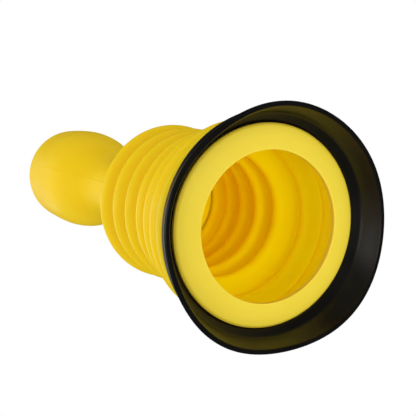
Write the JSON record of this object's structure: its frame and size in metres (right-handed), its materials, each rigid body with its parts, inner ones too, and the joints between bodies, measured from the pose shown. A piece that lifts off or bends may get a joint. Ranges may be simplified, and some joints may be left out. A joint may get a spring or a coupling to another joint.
{
  "type": "sink plunger",
  "caption": "Hand plunger for sinks: a pear-shaped grip on a stiff yellow bellows, which folds under a push, and a flared black rubber cup held in place by a flat yellow ring.",
  "frame": {"origin": "centre of the mouth, on the plane that the cup's rim rests on", "axes": "+Z along the plunger's axis, from the mouth to the handle's end; it is round about Z, so X and Y are any two directions across it"},
  "size_m": [0.1, 0.1, 0.2548],
  "materials": {
    "cup_rubber": "satin black rubber",
    "ring_plastic": "satin lemon yellow polyethylene",
    "bellows_plastic": "satin lemon yellow polyethylene, slightly translucent",
    "seal_rubber": "matte black rubber",
    "stem_plastic": "satin yellow plastic",
    "handle_plastic": "matte warm yellow polyethylene"
  },
  "bodies": {
    "mouth": {"rubber_cup": "cup_rubber", "front_ring": "ring_plastic", "bellows": "bellows_plastic"},
    "grip": {"seal_washer": "seal_rubber", "threaded_stem": "stem_plastic", "handle": "handle_plastic"}
  },
  "joints": [
    {"name": "bellows_stroke", "type": "slide", "parent": "mouth", "child": "grip", "axis": [0, 0, -1], "range_m": [0, 0.045], "stiffness_N_per_m": 800, "springref_m": -0.003, "deforming": ["bellows"]}
  ]
}
